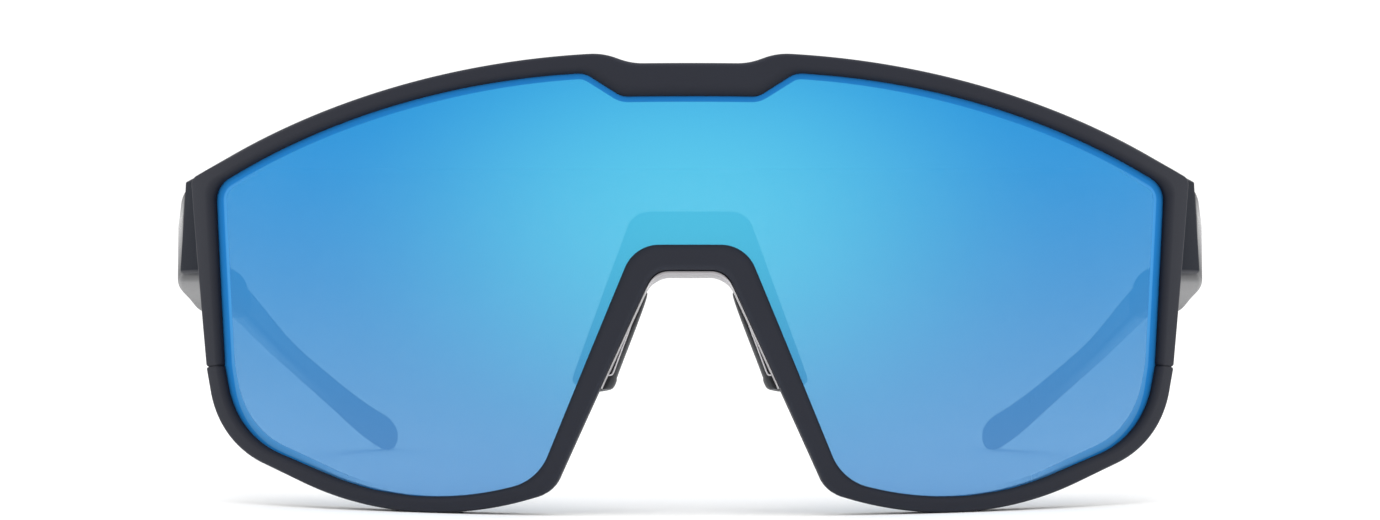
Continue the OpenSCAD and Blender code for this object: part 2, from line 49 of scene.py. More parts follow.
# Sizes are millimetres in the frame of the front: x across, y back, z up from the lowest rim.
half_w, front_h = 71.2, 62.6
wrap_r, crown_r, crown_z = 88, 260, 30
split_h, split_x, joint_gap = 21.85, 68.36, 0.16
bar_half, bar_z, bar_w = 8, 61.1, 4.6
crest_x, corner_z, brow_w, side_w, split_w = 12, 49.2, 2.7, 3.6, 2.5
crest_fall, corner_fall, brow_r = tan(radians(2)), tan(radians(22)), 160
rim_front, rim_back, rim_round, groove, groove_share = 1.3, 3.3, 0.8, 0.9, 0.45
lens_t, lens_gap, seat_gap = 1.7, 0.12, 0.06
endpiece_h, endpiece_top, endpiece_out = 13.8, 49.4, 74
endpiece_rise, endpiece_tuck, endpiece_rake, endpiece_pitch = 0.3, 0.7, 0.7, 0.55
hinge_x, hinge_back, hinge_gap = 69.3, 7, 0.35
barrel_h, barrel_lift, leaf_l = 8, 0.9, 5.5
fine = 5  # points for each step along an outline
sides = (("left", False), ("right", True))  # the right-hand pieces mirror the left-hand ones

brow_x = half_w * corner_fall + corner_z - front_h - crest_x * crest_fall
brow_x /= corner_fall - crest_fall
brow_z = front_h - (brow_x - crest_x) * crest_fall


def level_r(z):
    """Radius of the wrap at height z: the lens is curved a little from top to bottom too."""
    return wrap_r - crown_r + np.sqrt(crown_r**2 - (z - crown_z) ** 2)


def normal(points):
    """Direction straight out of the lens at points of the front view (x, z)."""
    x, z = np.moveaxis(np.asarray(points, float), -1, 0)
    r = level_r(z)
    rise = (z - crown_z) / np.sqrt(crown_r**2 - (z - crown_z) ** 2)
    n = np.stack([x / r, -np.sqrt(r**2 - x**2) / r, rise], -1)
    return n / np.linalg.norm(n, axis=-1, keepdims=True)


def over(points, height=0.0):
    """Points of the front view (x, z) laid on the lens, then raised in front of it."""
    x, z = np.moveaxis(np.asarray(points, float), -1, 0)
    flat = np.stack([x, wrap_r - np.sqrt(level_r(z) ** 2 - x**2), z], -1)
    return flat + height * normal(points)


def wall(points):
    """Direction of the rim walls: straight back at the nose, turning out with the wrap."""
    nose_turn, side_turn = 0.1, 0.5
    n = normal(points)
    turn = nose_turn + side_turn * np.abs(np.asarray(points, float)[..., 0]) / half_w
    m = np.stack([n[..., 0] * turn, n[..., 1], n[..., 2]], -1)
    return m / np.sum(m * n, -1, keepdims=True)


def corner(a, b, c, radius, steps, most=0.93):
    """A true arc that rounds corner b between a and c, and takes at most that share of a side."""
    straight, short = 1e-4, 0.2
    a, b, c = (np.array(p[:2], float) for p in (a, b, c))
    ab, cb = np.linalg.norm(a - b), np.linalg.norm(c - b)
    p, q = (a - b) / ab, (c - b) / cb
    share = np.linspace(0, 1, steps + 1)[:, None]
    if np.linalg.norm(p + q) < straight:
        return b + p * short * min(ab, cb) * (1 - 2 * share)
    half = acos(p @ q) / 2
    reach = min(radius / tan(half), most * min(ab, cb))
    middle = b + (p + q) / np.linalg.norm(p + q) * reach / cos(half)
    start, end = b + p * reach - middle, b + q * reach - middle
    turn = pi - 2 * half
    return middle + (start * np.sin(turn * (1 - share)) + end * np.sin(turn * share)) / sin(turn)


def walk(corners, runs, arcs):
    """An outline from side to side, given by the corners (x, z, radius) of its half from the
    middle out, with the steps along each straight run and round each corner."""
    bends = [np.array([corners[0]], float)]
    for before, bend, after, steps in zip(corners, corners[1:], corners[2:], arcs):
        bends.append(corner(before, bend, after, bend[2], steps * fine))
    bends.append(np.array([corners[-1]], float))
    line = []
    for bend, after, run in zip(bends, bends[1:], runs):
        share = np.linspace(0, 1, run * fine, endpoint=False)[1:, None]
        line += [bend, bend[-1] + (after[0] - bend[-1]) * share]
    half = np.concatenate(line + [bends[-1]])
    return np.concatenate([half[:0:-1] * (-1, 1), half])


def rounded(corners):
    """Points of a closed section with its corners (u, v, radius, steps) rounded, and a polish value
    for each point, from 0 on the flats to 1 in the middle of a rounding. Where it rises, edges are
    lighter, partly by wear and partly as a painted highlight."""
    most, lit_polish_r = 0.48, 0.5
    points, polish_and_light = [], []
    for i, (u, v, radius, steps) in enumerate(corners):
        if radius == 0:
            points.append([[u, v]])
            polish_and_light.append([0.0])
            continue
        after = corners[(i + 1) % len(corners)]
        points.append(corner(corners[i - 1], (u, v), after, radius, steps, most))
        polish_and_light.append(np.sin(np.linspace(0, pi, steps + 1)) * min(1, radius / lit_polish_r))
    return np.concatenate(points), np.concatenate(polish_and_light)


def rim_section(width):
    """Section of the rim, u from the lens side out and v in front of the lens, with its groove.
    Its front rolls down to the lens in a broad quarter of an ellipse, rougher towards the lens
    and painted darker and cooler there: painted shade, bluish as a painted reflection of the lens."""
    lip_r, groove_slack, outer_drop, back_r, raw_and_shaded = 0.06, 0.03, 0.12, 0.5, 0.9
    roll_w, roll_h, back_u = 0.32 * width, 0.85, 0.4 * width
    outer_r, depth = min(rim_round, 0.3 * width), min(groove, groove_share * width)
    front, back, behind = rim_front, -rim_back, -lens_t - groove_slack
    turns = np.linspace(0, pi / 2, 10)
    points, polish_and_light = rounded([
        (0, lens_gap, lip_r, 1),
        *[(roll_w * (1 - cos(t)), front - roll_h * (1 - sin(t)), 0, 0) for t in turns],
        (width, front - outer_drop, outer_r, 7),
        (width, back, outer_r, 6),
        (back_u, back, back_r, 4),
        (0, behind, lip_r, 1),
        (depth, behind, 0, 0),
        (depth, lens_gap, 0, 0),
    ])
    rolled = 2 + len(turns)
    # Below 0 on the roll: painted shade, deepest at the lens.
    polish_and_light[:rolled] = -raw_and_shaded * np.linspace(1, 0, rolled)
    return points, polish_and_light


def rim_rings(inner, outer, tongue=0.0):
    """Sections along the rim. The two ends are eased, as the moulded joint faces are, and a tongue
    can stand on them that fills the joint."""
    eased, furthest, face_share, stub_share = 0.2, 0.9, 0.93, 0.86
    a, b, out = over(inner), over(outer), wall((inner + outer) / 2)
    width = np.linalg.norm(b - a, axis=1)
    rings = []
    for i in range(len(a)):
        section, polish_and_light = rim_section(width[i])
        rings.append(a[i] + section[:, :1] * (b[i] - a[i]) / width[i] + section[:, 1:] * out[i])
    rings = np.array(rings)
    for _ in range(2):  # one end, then the other: the rings are turned round each time
        end, near = rings[-1], rings[-2]
        middle = end.mean(0)
        run = middle - near.mean(0)
        step = np.linalg.norm(run)
        full = end + (near - end) * min(furthest, eased / step)
        face, stub = (middle + (end - middle) * share for share in (face_share, stub_share))
        joint = [full, face]
        if tongue:
            joint += [stub, stub + run / step * tongue]
        rings = np.concatenate([rings[:-1], joint])[::-1]
    return rings, polish_and_light


fold = frame["joints"][0]
hinge_y = over((half_w, corner_z))[1] + hinge_back
barrel_z = endpiece_top - endpiece_h + (endpiece_h - barrel_h) / 2 + barrel_lift
pivot = (hinge_x, hinge_y + hinge_gap / 2, barrel_z + barrel_h / 2)
lean = atan2(fold["axis"][1], fold["axis"][2])
lean_rows = np.array([[1, 0, 0], [0, cos(lean), sin(lean)], [0, -sin(lean), cos(lean)]])
place = np.array(fold["pos_m"]) - lean_rows @ pivot * 0.001


def seat(points):
    """The front's millimetres to the frame's metres: leaned back to rest on the temple tips."""
    return np.asarray(points, float) @ lean_rows.T * 0.001 + place


def smooth(mesh):
    """Faces turned outwards and shaded smooth, but for sharp edges."""
    sharp = radians(38)
    work = bmesh.new()
    work.from_mesh(mesh)
    bmesh.ops.recalc_face_normals(work, faces=work.faces)
    work.to_mesh(mesh)
    work.free()
    mesh.shade_smooth()
    mesh.set_sharp_from_angle(angle=sharp)


def solid(name, rings, polish_and_light=None, mirrored=False):
    """A closed skin over rings of points, its two ends filled, as a new piece. Its polish value,
    which also carries painted light and shade, is given for one ring or for every point."""
    rings = np.asarray(rings, float) * ((-1, 1, 1) if mirrored else (1, 1, 1))
    count, around = rings.shape[:2]
    i, j = np.mgrid[0:count - 1, 0:around]
    near, far, k = i * around, (i + 1) * around, (j + 1) % around
    faces = np.stack([near + j, far + j, far + k, near + k], -1).reshape(-1, 4).tolist()
    faces.append(list(range(around)))
    faces.append(list(range(count * around - 1, (count - 1) * around - 1, -1)))
    mesh = bpy.data.meshes.new(name)
    mesh.from_pydata(seat(rings.reshape(-1, 3)), [], faces)
    if polish_and_light is not None:
        values = np.tile(polish_and_light, count).astype(np.float32) if len(polish_and_light) == around else polish_and_light
        mesh.attributes.new("polish_and_light", "FLOAT", "POINT").data.foreach_set("value", values)
    piece = bpy.data.objects.new(name, mesh)
    bpy.context.scene.collection.objects.link(piece)
    smooth(mesh)
    return piece


def shape(piece, operation, *tools):
    """Joins tools to a piece or cuts them from it, and takes the tools away."""
    for tool in tools:
        change = piece.modifiers.new(operation, "BOOLEAN")
        change.object, change.operation, change.solver = tool, operation, "MANIFOLD"
        evaluated = piece.evaluated_get(bpy.context.evaluated_depsgraph_get())
        mesh = bpy.data.meshes.new_from_object(evaluated)
        piece.modifiers.clear()
        old, piece.data = piece.data, mesh
        bpy.data.meshes.remove(old)
        bpy.data.objects.remove(tool)
    piece.data.name = piece.name
    piece.data.materials.clear()
    smooth(piece.data)


# The inner outline lies in from the outer one by the rim's width, and by shares of it at corners.
upper_steps = (3, 1, 2, 1, 6), (4, 4, 12, 4)
upper_in = walk(
    [
        (0, bar_z - bar_w),
        (bar_half + bar_w * 0.3, bar_z - bar_w, 3),
        (crest_x + brow_w * 0.93, front_h - brow_w, 3),
        (brow_x + 1, brow_z - brow_w - 0.1, brow_r - 10),
        (half_w - side_w, corner_z - side_w * 0.42, 3),
        (split_x - split_w, split_h + joint_gap / 2),
    ],
    *upper_steps,
)
upper_out = walk(
    [
        (0, bar_z),
        (bar_half, bar_z, 9),
        (crest_x, front_h, 9),
        (brow_x, brow_z, brow_r),
        (half_w, corner_z, 1),
        (split_x, split_h + joint_gap / 2),
    ],
    *upper_steps,
)


def endpiece_rings():
    """Sections of an endpiece, flaring back from the rim corner to the eased hinge face. It is
    rougher and painted darker as shade, but for its edges."""
    root_in, root_back, root_t, root_round = 1.6, 1.2, 1.9, 0.8
    flare, overlap, raw_and_shaded = 0.8, 0.1, 0.75
    root = over((half_w - root_in, corner_z - endpiece_h / 2), -root_back)
    inner_root, outer_root = root[0] - root_t, root[0] + root_round
    steps = [(f, 0.0) for f in np.linspace(0, 0.96, 17)] + [(0.985, 0.05), (1.0, 0.18)]
    rings = []
    for f, inset in steps:
        y = root[1] + (hinge_y - root[1]) * f
        inner = inner_root + (hinge_x + overlap - inner_root) * f + inset
        outer = outer_root + (endpiece_out - outer_root) * f**flare - inset
        brink = outer - endpiece_rake * f
        low = endpiece_top - endpiece_h + endpiece_tuck * f + inset
        high = endpiece_top + endpiece_rise * f - inset
        section, polish_and_light = rounded([
            (inner, low, 0.5, 3),
            (outer, low, 0.6, 5),
            (brink, high, 0.25, 5),
            (inner, high + endpiece_pitch * (brink - inner), 0.5, 3),
        ])
        rings.append([(x, y, z) for x, z in section])
    # The whole endpiece is lowered below 0: painted shade, all but its edges.
    return rings, polish_and_light - raw_and_shaded


def hinge_room(name, slot_y, mirrored):
    """Cutters for the hinge: a round room for the barrels, and a slot for one leaf."""
    room_r, room_steps, under, above = 2, 48, 3, 0.3
    slot_in, slot_out, slot_l = 0.55, 1.75, 7.5
    turns = np.linspace(0, 2 * pi, room_steps, endpoint=False)
    disc = [(hinge_x + room_r * cos(t), pivot[1] + room_r * sin(t)) for t in turns]
    ends = (endpiece_top - endpiece_h - under, barrel_z + barrel_h + above)
    room = [[(x, y, z) for x, y in disc] for z in ends]
    left, right = hinge_x + slot_in - seat_gap, hinge_x + slot_out + seat_gap
    low, high = barrel_z - seat_gap, barrel_z + barrel_h + seat_gap
    mouth = ((left, low), (right, low), (right, high), (left, high))
    slot = [[(x, y, z) for x, z in mouth] for y in (slot_y, slot_y + slot_l)]
    cutters = {"_room": room, "_slot": slot}
    return [solid(name + part, rings, mirrored=mirrored) for part, rings in cutters.items()]


class Wire:
    """A socket of a finish. Arithmetic on it adds Math nodes."""

    def __init__(self, finish, socket):
        self.finish, self.socket = finish, socket

    def _math(self, operation, a, b):
        return self.finish.node("ShaderNodeMath", {"operation": operation}, {0: a, 1: b})

    def __add__(self, other):
        return self._math("ADD", self, other)

    def __sub__(self, other):
        return self._math("SUBTRACT", self, other)

    def __rsub__(self, other):
        return self._math("SUBTRACT", other, self)

    def __mul__(self, other):
        return self._math("MULTIPLY", self, other)

    def __truediv__(self, other):
        return self._math("DIVIDE", self, other)

    def __pow__(self, other):
        return self._math("POWER", self, other)

    __radd__, __rmul__ = __add__, __mul__


class Finish:
    """One material. node() adds any node: its settings first, then its sockets' values or links."""

    def __init__(self, name):
        self.material = bpy.data.materials.new(name)
        self.material.use_nodes = True
        self.tree = self.material.node_tree
        self.tree.nodes.clear()
        self.coords = self.node("ShaderNodeTexCoord", output="Object")

    def node(self, kind, settings=None, sockets=None, output=0):
        made = self.tree.nodes.new(kind)
        for name, value in (settings or {}).items():
            setattr(made, name, value)
        for name, value in (sockets or {}).items():
            if isinstance(value, Wire):
                self.tree.links.new(value.socket, made.inputs[name])
            else:
                made.inputs[name].default_value = value
        return Wire(self, made.outputs[output]) if len(made.outputs) else None

    def noise(self, size_mm, detail, stretch=(1, 1, 1)):
        """Noise from 0 to 1 with grains of about that size."""
        at = self.node("ShaderNodeMapping", None, {"Vector": self.coords, "Scale": stretch})
        return self.node("ShaderNodeTexNoise", None, {
            "Vector": at, "Scale": 1000 / size_mm, "Detail": detail, "Roughness": 0.55})

    def attribute(self, name):
        """A value that the mesh holds for each point."""
        return self.node("ShaderNodeAttribute", {"attribute_name": name}, output="Fac")

    def ramp(self, value, low, high):
        """A soft step from 0 at low to 1 at high."""
        return self.node("ShaderNodeMapRange", {"interpolation_type": "SMOOTHSTEP"}, {
            "Value": value, "From Min": low, "From Max": high})

    def blend(self, share, a, b):
        """A colour between a and b."""
        return self.node("ShaderNodeMix", {"data_type": "RGBA"}, {0: share, 6: a, 7: b}, output=2)

    def bump(self, height, depth_mm):
        """A relief of that depth, for a shader's Normal."""
        return self.node("ShaderNodeBump", None, {
            "Height": height, "Distance": depth_mm * 0.001, "Strength": 1.0})

    def surface(self, sockets, clear=0.0, tint=None):
        """The finished material; clear is the share of light that passes, coloured by tint."""
        shader = self.node("ShaderNodeBsdfPrincipled", None, sockets)
        if clear:
            film = self.node("ShaderNodeBsdfTransparent", None, {"Color": tint})
            shader = self.node("ShaderNodeMixShader", None, {0: clear, 1: shader, 2: film})
        self.node("ShaderNodeOutputMaterial", None, {"Surface": shader})
        return self.material


def srgb(red, green, blue):
    """A colour as a picture editor gives it, 0 to 255, in the renderer's own light values."""
    parts = [c / 255 for c in (red, green, blue)]
    return (*[c / 12.92 if c <= 0.04045 else ((c + 0.055) / 1.055) ** 2.4 for c in parts], 1)


def matt_nylon(name, colour, worn_and_lit, roughness, gloss, wear_and_light=0.4, smoothing=0.08, coat=0.0):
    """Moulded nylon: a fine grain and faint clouds from the flow of the melt. Polish makes it
    lighter, partly by wear and partly as a painted highlight, smoother by smoothing and glossier
    by coat. Where polish is below 0 it is rougher and painted darker and cooler: painted shade."""
    grain_mm, grain_depth, cloud_mm, coat_roughness = 0.16, 0.018, 14, 0.2
    cool_shade_tone = (0.38, 0.5, 0.62, 1)
    finish = Finish(name)
    grain, cloud = finish.noise(grain_mm, 2), finish.noise(cloud_mm, 2)
    polish_and_light = finish.attribute("polish_and_light")
    # Below 0 the colour turns to painted shade; above 0 it lightens, partly wear, partly painted
    # highlight.
    raw_and_shaded = finish.ramp(0 - polish_and_light, 0, 1)
    tone = finish.blend(wear_and_light * polish_and_light + 0.25 * cloud, colour, worn_and_lit)
    uneven = 0.14 * (grain - 0.5) + 0.06 * cloud
    sockets = {
        "Base Color": finish.blend(raw_and_shaded, tone, tuple(np.array(colour) * cool_shade_tone)),
        "Roughness": roughness + uneven - smoothing * polish_and_light + 0.24 * raw_and_shaded,
        "Normal": finish.bump(grain, grain_depth),
        "Specular IOR Level": gloss,
    }
    if coat:
        sockets |= {"Coat Weight": coat * polish_and_light, "Coat Roughness": coat_roughness}
    return finish.surface(sockets)


# The lighter frame colour is for edges: partly wear, partly a painted highlight.
frame_black, frame_worn_lit = srgb(34, 36, 45), srgb(44, 47, 57)
frame_nylon = matt_nylon("frame_nylon_matt", frame_black, frame_worn_lit, roughness=0.56, gloss=0.2)

upper_frame = solid("upper_frame_moulding", *rim_rings(upper_in, upper_out))
for side, mirrored in sides:
    name = "endpiece_" + side
    shape(upper_frame, "UNION", solid(name, *endpiece_rings(), mirrored))
    shape(upper_frame, "DIFFERENCE", *hinge_room(name, hinge_y - leaf_l, mirrored))
upper_frame.data.materials.append(frame_nylon)
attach(upper_frame, "front")
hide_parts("upper_frame")

# Lower frame: the lower half of the rim, from one joint down under the lens, up over the nose
# arch and back. The same matt nylon; it snaps on to hold the lens in its groove, and a tongue on
# each end fills the joint.
nose_h, nose_top, nose_foot, foot_z, arch_w = 32.4, 4.9, 18.7, 2.3, 3.5
jaw_x, jaw_z, sole_x, sole_sink, lower_w = 66.3, 11, 38.4, 3.1, 2.3

lower_steps = (2, 4, 1, 1, 2), (6, 6, 8, 7)
lower_in = walk(
    [
        (0, nose_h + arch_w),
        (nose_top + arch_w * 0.77, nose_h + arch_w, 5),
        (nose_foot + lower_w * 0.92, foot_z + lower_w * 0.7, 7),
        (sole_x, lower_w * 1.45 - sole_sink, 40),
        (jaw_x - split_w, jaw_z + lower_w * 0.35, 14),
        (split_x - split_w, split_h - joint_gap / 2),
    ],
    *lower_steps,
)
lower_out = walk(
    [
        (0, nose_h),
        (nose_top, nose_h, 3),
        (nose_foot, foot_z, 4.5),
        (sole_x, -sole_sink, 45),
        (jaw_x, jaw_z, 15),
        (split_x, split_h - joint_gap / 2),
    ],
    *lower_steps,
)
lower_frame = solid("lower_frame_moulding", *rim_rings(lower_in, lower_out, tongue=0.15))
lower_frame.data.materials.append(frame_nylon)
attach(lower_frame, "front")
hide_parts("lower_frame")

# Shield lens: one moulded polycarbonate shield with a blue mirror coat on its front, and a smoke
# tint at its back that lets bluish light through. Its edge sits in the groove of both frame
# halves, and along the rim the coat is painted deeper as shade.
edge_share, cheek_x = 0.12, 24
edge_rows = np.linspace(0, edge_share, 9)
middle_rows = np.linspace(edge_share, 1 - edge_share, 25)[1:-1]
lens_rows = np.concatenate([edge_rows, middle_rows, 1 - edge_rows[::-1]])


def lens_edge(inner, outer):
    """Where the lens ends, a gap short of the groove's floor."""
    width = np.linalg.norm(over(outer) - over(inner), axis=1)[:, None]
    depth = np.minimum(groove, groove_share * width) - lens_gap
    return inner + (outer - inner) * depth / width


low_edge, high_edge = lens_edge(lower_in, lower_out), lens_edge(upper_in, upper_out)
share = lens_rows[None, :, None]
grid = low_edge[:, None] * (1 - share) + high_edge[:, None] * share
lens_front, lens_back = over(grid), over(grid) - lens_t * wall(grid)
lens = solid("shield_lens_moulding", np.concatenate([lens_front, lens_back[:, ::-1]], axis=1))


def distance_to(line, points):
    """How far each point is from a line of points."""
    least = np.full(len(points), np.inf)
    for start, step in zip(line[:-1], np.diff(line, axis=0)):
        share = np.clip((points - start) @ step / (step @ step), 0, 1)
        least = np.minimum(least, np.linalg.norm(points - start - share[:, None] * step, axis=1))
    return least


lens_points = np.concatenate([grid, grid[:, ::-1]], axis=1).reshape(-1, 2)
from_edge = distance_to(upper_in, lens_points)
for way in (-1, 1):
    cheek_edge = lower_in[lower_in[:, 0] * way > cheek_x]
    from_edge = np.minimum(from_edge, distance_to(cheek_edge, lens_points))
edge_values = lens.data.attributes.new("from_edge", "FLOAT", "POINT")
edge_values.data.foreach_set("value", from_edge.astype(np.float32))

# The coat is brightest round a point above the nose, a painted reflection of a light, and paler
# low down, painted light from the pale floor showing through. A narrow dull band along the rim is
# painted shade, and a second, lighter one inside it at the cheeks is the lit back of the rim,
# painted in.
bright_z, bright_squash = 36, 1.3
rim_shade_blue, cheek_lit_low, cheek_lit_high = srgb(37, 124, 195), srgb(74, 138, 193), srgb(70, 149, 213)
coat_blue, reflected_glow_blue, floor_light_blue = srgb(10, 140, 211), srgb(79, 198, 231), srgb(91, 140, 195)
haze_blue, smoke_dark, smoke_pale = srgb(120, 200, 250), srgb(26, 30, 34), srgb(38, 42, 46)

mirror = Finish("lens_mirror_coat")
across, up = (
    mirror.node("ShaderNodeSeparateXYZ", None, {0: mirror.coords}, axis) * 1000 for axis in "XZ")
outward = (across**2) ** 0.5
from_bright = (across**2 + ((up - bright_z) * bright_squash) ** 2) ** 0.5
# glow: a painted reflection of a light above the nose.
glow = 1 - mirror.ramp(from_bright, 2, 56)
low = 1 - mirror.ramp(up, -10, 58)
cheek = mirror.ramp(outward, 40, 58) * (1 - mirror.ramp(up, 44, 48))
from_rim = mirror.attribute("from_edge")
# band: painted shade of the rim on the lens, a narrow dull strip along it.
band_w = 0.05 + (0.68 + 0.24 * mirror.ramp(outward, 10, 45)) * mirror.ramp(up, 2, 21)
band = 1 - mirror.ramp(from_rim / band_w, 0.92, 1.08)
# second: the lit back of the rim, painted in as a lighter band at the cheeks.
second_w = 0.4 + 1.02 * mirror.ramp(up, -5, 15)
second = cheek * (1 - mirror.ramp(from_rim / second_w, 0.93, 1.07))
dull = 1 - (1 - band) * (1 - second)
haze = mirror.noise(30, 2)
blue = mirror.blend(glow, coat_blue, reflected_glow_blue)
# Paler low down: painted light from the pale floor showing through.
blue = mirror.blend(low * (1 - 0.35 * glow), blue, floor_light_blue)
blue = mirror.blend(0.05 * haze, blue, haze_blue)
cheek_lit_blue = mirror.blend(mirror.ramp(up, 10, 30), cheek_lit_low, cheek_lit_high)
mirror_coat = mirror.surface({
    "Base Color": mirror.blend(band, mirror.blend(second, blue, cheek_lit_blue), rim_shade_blue),
    "Metallic": 0.92 - 0.8 * dull,
    "Roughness": 0.2 + 0.05 * haze,
    "Alpha": 1 - (0.065 + 0.15 * low**0.5) * (1 - dull),
    "Specular IOR Level": 0.0,
})
smoke = Finish("lens_smoke_back")
cloud = smoke.noise(20, 1)
smoke_back = smoke.surface({
    "Base Color": smoke.blend(cloud, smoke_dark, smoke_pale),
    "Roughness": 0.1 + 0.05 * cloud,
}, clear=0.55, tint=(0.53, 0.87, 1, 1))
lens.data.materials.append(mirror_coat)
lens.data.materials.append(smoke_back)
facing_back = 0.05
for face in lens.data.polygons:
    face.material_index = int(face.normal.y > facing_back)
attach(lens, "front")
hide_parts("shield_lens")

# Nose bracket: a bent L-section of grey nylon behind the arch, clipped between lens and rim. Its
# lip shows as a thin light line under the arch; a fin on each leg carries a nose pad.
bracket_rise, bracket_t, leg_l = 8.6, 1.9, 16
crown_out, leg_out, leg_cut, leg_in, arch_in = 2.95, 4.4, 0.5, 0.3, 0.05


def nose_x(z):
    """Half the width of the nose opening at height z."""
    return nose_top + (nose_foot - nose_top) * (nose_h - z) / (nose_h - foot_z)


def ease(share):
    """A share from 0 to 1 that starts and ends softly."""
    return (1 - np.cos(pi * np.clip(share, 0, 1))) / 2


bracket_steps = (3, 6), (6,)
bracket_out = walk(
    [
        (0, nose_h + bracket_rise),
        (nose_top + crown_out, nose_h + bracket_rise, 3.2),
        (nose_x(nose_h - leg_l) + leg_out, nose_h - leg_l + leg_cut),
    ],
    *bracket_steps,
)
bracket_in = walk(
    [
        (0, nose_h - seat_gap),
        (nose_top - arch_in, nose_h - seat_gap, 3),
        (nose_x(nose_h - leg_l) - seat_gap, nose_h - leg_l),
    ],
    *bracket_steps,
)


def bracket_rings():
    """L sections round the arch: a plate behind rim and lens, and a lip forward under the arch.
    The edge of the lip is painted with a glint down the legs."""
    lip_front, lip_thin, lip_more, arch_run, end_round, lip_glint = 0.3, 0.02, 0.48, 2.8, 1, 0.9
    a, b, out = over(bracket_in), over(bracket_out), wall(bracket_in)
    front = -rim_back - seat_gap
    back = front - bracket_t
    rings, worn_and_lit = [], []
    for i in range(len(a)):
        left = min(np.linalg.norm(a[i] - a[0]), np.linalg.norm(a[i] - a[-1]))
        trim = end_round - (end_round**2 - max(0, end_round - left) ** 2) ** 0.5
        width = np.linalg.norm(b[i] - a[i])
        on_arch = ease((bracket_in[i][1] - nose_h + arch_run) / arch_run)
        lip = lip_thin + lip_more * on_arch
        section, polish_and_light = rounded([
            (-lip, lip_front, 0.15, 2),
            (-lip, back, 0.6, 4),
            (width - trim, back, 0.5, 4),
            (width - trim, front, 0.3, 3),
            (-seat_gap, front, 0.12, 2),
            (-seat_gap, lip_front, 0.1, 2),
        ])
        # A painted glint along the lip's edge down the legs.
        polish_and_light[:3] += lip_glint * (1 - on_arch)
        rings.append(a[i] + section[:, :1] * (b[i] - a[i]) / width + section[:, 1:] * out[i])
        worn_and_lit.append(polish_and_light)
    return np.array(rings), np.ravel(worn_and_lit)


splay = radians(20)
along, aside = np.array([sin(splay), cos(splay)]), np.array([cos(splay), -sin(splay)])
fin_top, fin_low, pad_depth = nose_h - 0.31 * leg_l, nose_h - 0.84 * leg_l, 9.5


def leg_place(z):
    """Where a leg of the bracket stands at height z: across, and its back face."""
    x = nose_x(z) + leg_in
    return np.array([x, over((x, z))[1] + rim_back + bracket_t])


def fin_rings():
    """Level sections of the flat fin that a pad is pushed over, rooted in the leg. It is plain."""
    half_t, length, rooted = 0.45, 0.79 * pad_depth, 0.5
    rings = []
    for z in np.linspace(fin_top, fin_low, 8):
        root = leg_place(z) - (0, rooted)
        tip = root + along * length
        edge = half_t * aside
        rings.append([(*p, z) for p in (root - edge, tip - edge, tip + edge, root + edge)])
    return rings, np.zeros(4)


def bead_rings():
    """A thin bead that leaves the edge of a leg, runs down beside it and hooks back: the stop of
    the pad. Its whole colour is a painted glint."""
    radius, around, softenings, behind = 0.1, 12, 6, rim_back + 0.6 * bracket_t
    line = np.array([
        (0.4, 26.4), (0.0, 25.6), (-0.12, 24.5), (-0.28, 22.5), (-0.45, 20.4),
        (-0.58, 19), (-0.55, 18.6), (-0.3, 18.5), (0.4, 18.6)])
    share = np.linspace(0, len(line) - 1, 73)
    path = np.column_stack([np.interp(share, range(len(line)), column) for column in line.T])
    for _ in range(softenings):
        path[1:-1] = (path[:-2] + 2 * path[1:-1] + path[2:]) / 4
    centre = np.array([over((nose_x(z) + off, z)) + (0, behind, 0) for off, z in path])
    run = np.gradient(centre, axis=0)
    run /= np.linalg.norm(run, axis=1, keepdims=True)
    level = np.cross(run, (0, 1, 0))
    level /= np.linalg.norm(level, axis=1, keepdims=True)
    turn = np.linspace(0, 2 * pi, around, endpoint=False)
    rings = [c + radius * (np.outer(np.cos(turn), a) + np.outer(np.sin(turn), np.cross(r, a)))
             for c, r, a in zip(centre, run, level)]
    # Its polish value is 1 all round: a painted glint.
    return rings, np.ones(around)


# The pale colour is for the bracket's edges, lip and beads: painted glints.
bracket_grey, bracket_glint = srgb(160, 156, 158), srgb(222, 219, 222)
bracket = solid("nose_bracket_moulding", *bracket_rings())
for side, mirrored in sides:
    fin = solid("fin_" + side, *fin_rings(), mirrored)
    bead = solid("bead_" + side, *bead_rings(), mirrored)
    shape(bracket, "UNION", fin, bead)
bracket.data.materials.append(matt_nylon(
    "bracket_nylon_satin", bracket_grey, bracket_glint, roughness=0.36, gloss=0.5, wear_and_light=1))
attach(bracket, "front")
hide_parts("nose_bracket")

# Nose pads: two soft rubber blades, pushed over the fins of the bracket and swelling towards the
# nose. Moulded rubber with a dull skin.
pad_t, pad_over, pad_under, pad_set = 3.2, 2.6, 2.2, 0.3


